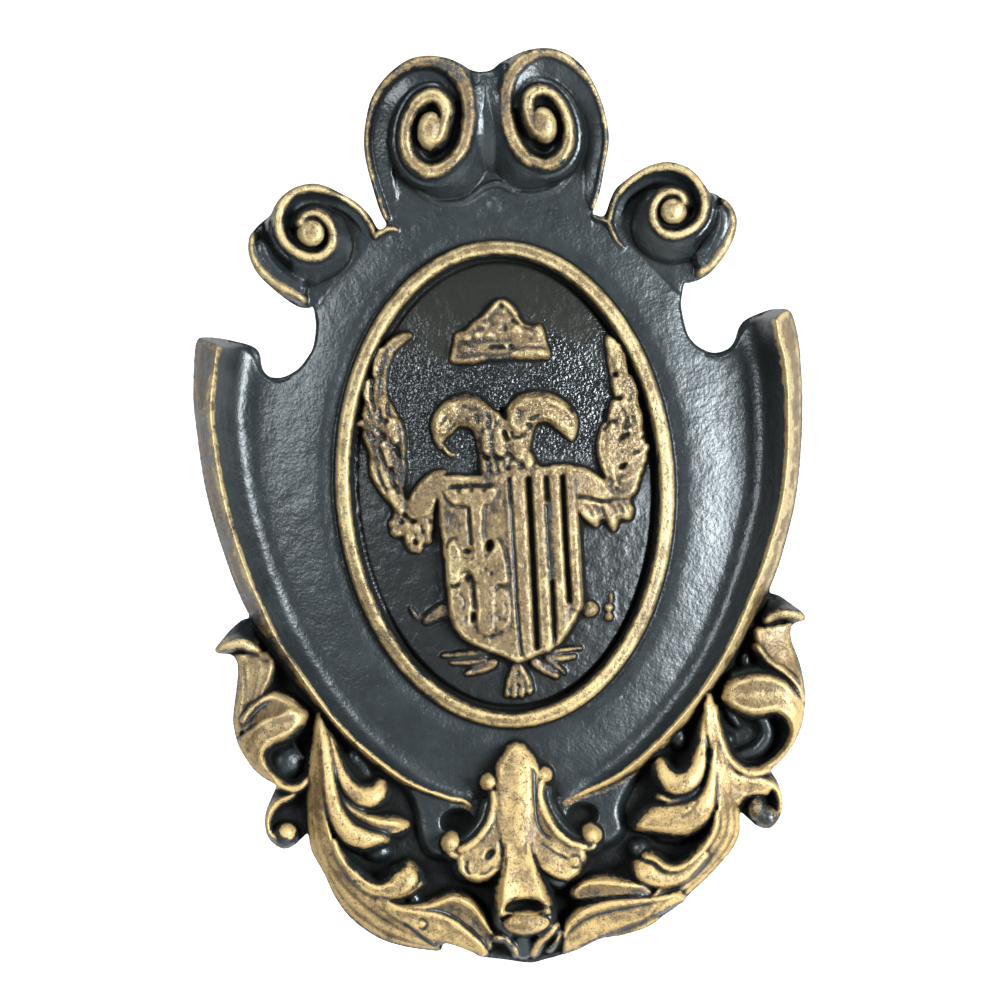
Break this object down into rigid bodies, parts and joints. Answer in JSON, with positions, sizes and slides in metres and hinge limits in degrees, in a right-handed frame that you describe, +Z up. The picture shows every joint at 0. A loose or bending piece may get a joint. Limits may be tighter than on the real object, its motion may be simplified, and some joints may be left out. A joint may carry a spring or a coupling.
{
  "type": "cartouche wall plaque with coat of arms",
  "caption": "Flat-backed wall plaque: scrolled cartouche with an oval medallion of a crowned double-headed eagle and shield, over acanthus leaves and a palmette.",
  "frame": {"origin": "on the flat back, straight behind the middle of the oval medallion, where the plaque lies against the wall", "axes": "+Z up the plaque, +X to the right as seen from the front, the carved front faces -Y and the flat back faces +Y"},
  "size_m": [0.2426, 0.0369, 0.3629],
  "materials": {
    "painted_plaster": "cast plaster in satin blue-black paint, with worn gold rubbed on the raised edges, leaves and eagle"
  },
  "bodies": {
    "root": {"coat_of_arms_casting": "painted_plaster"}
  },
  "joints": []
}
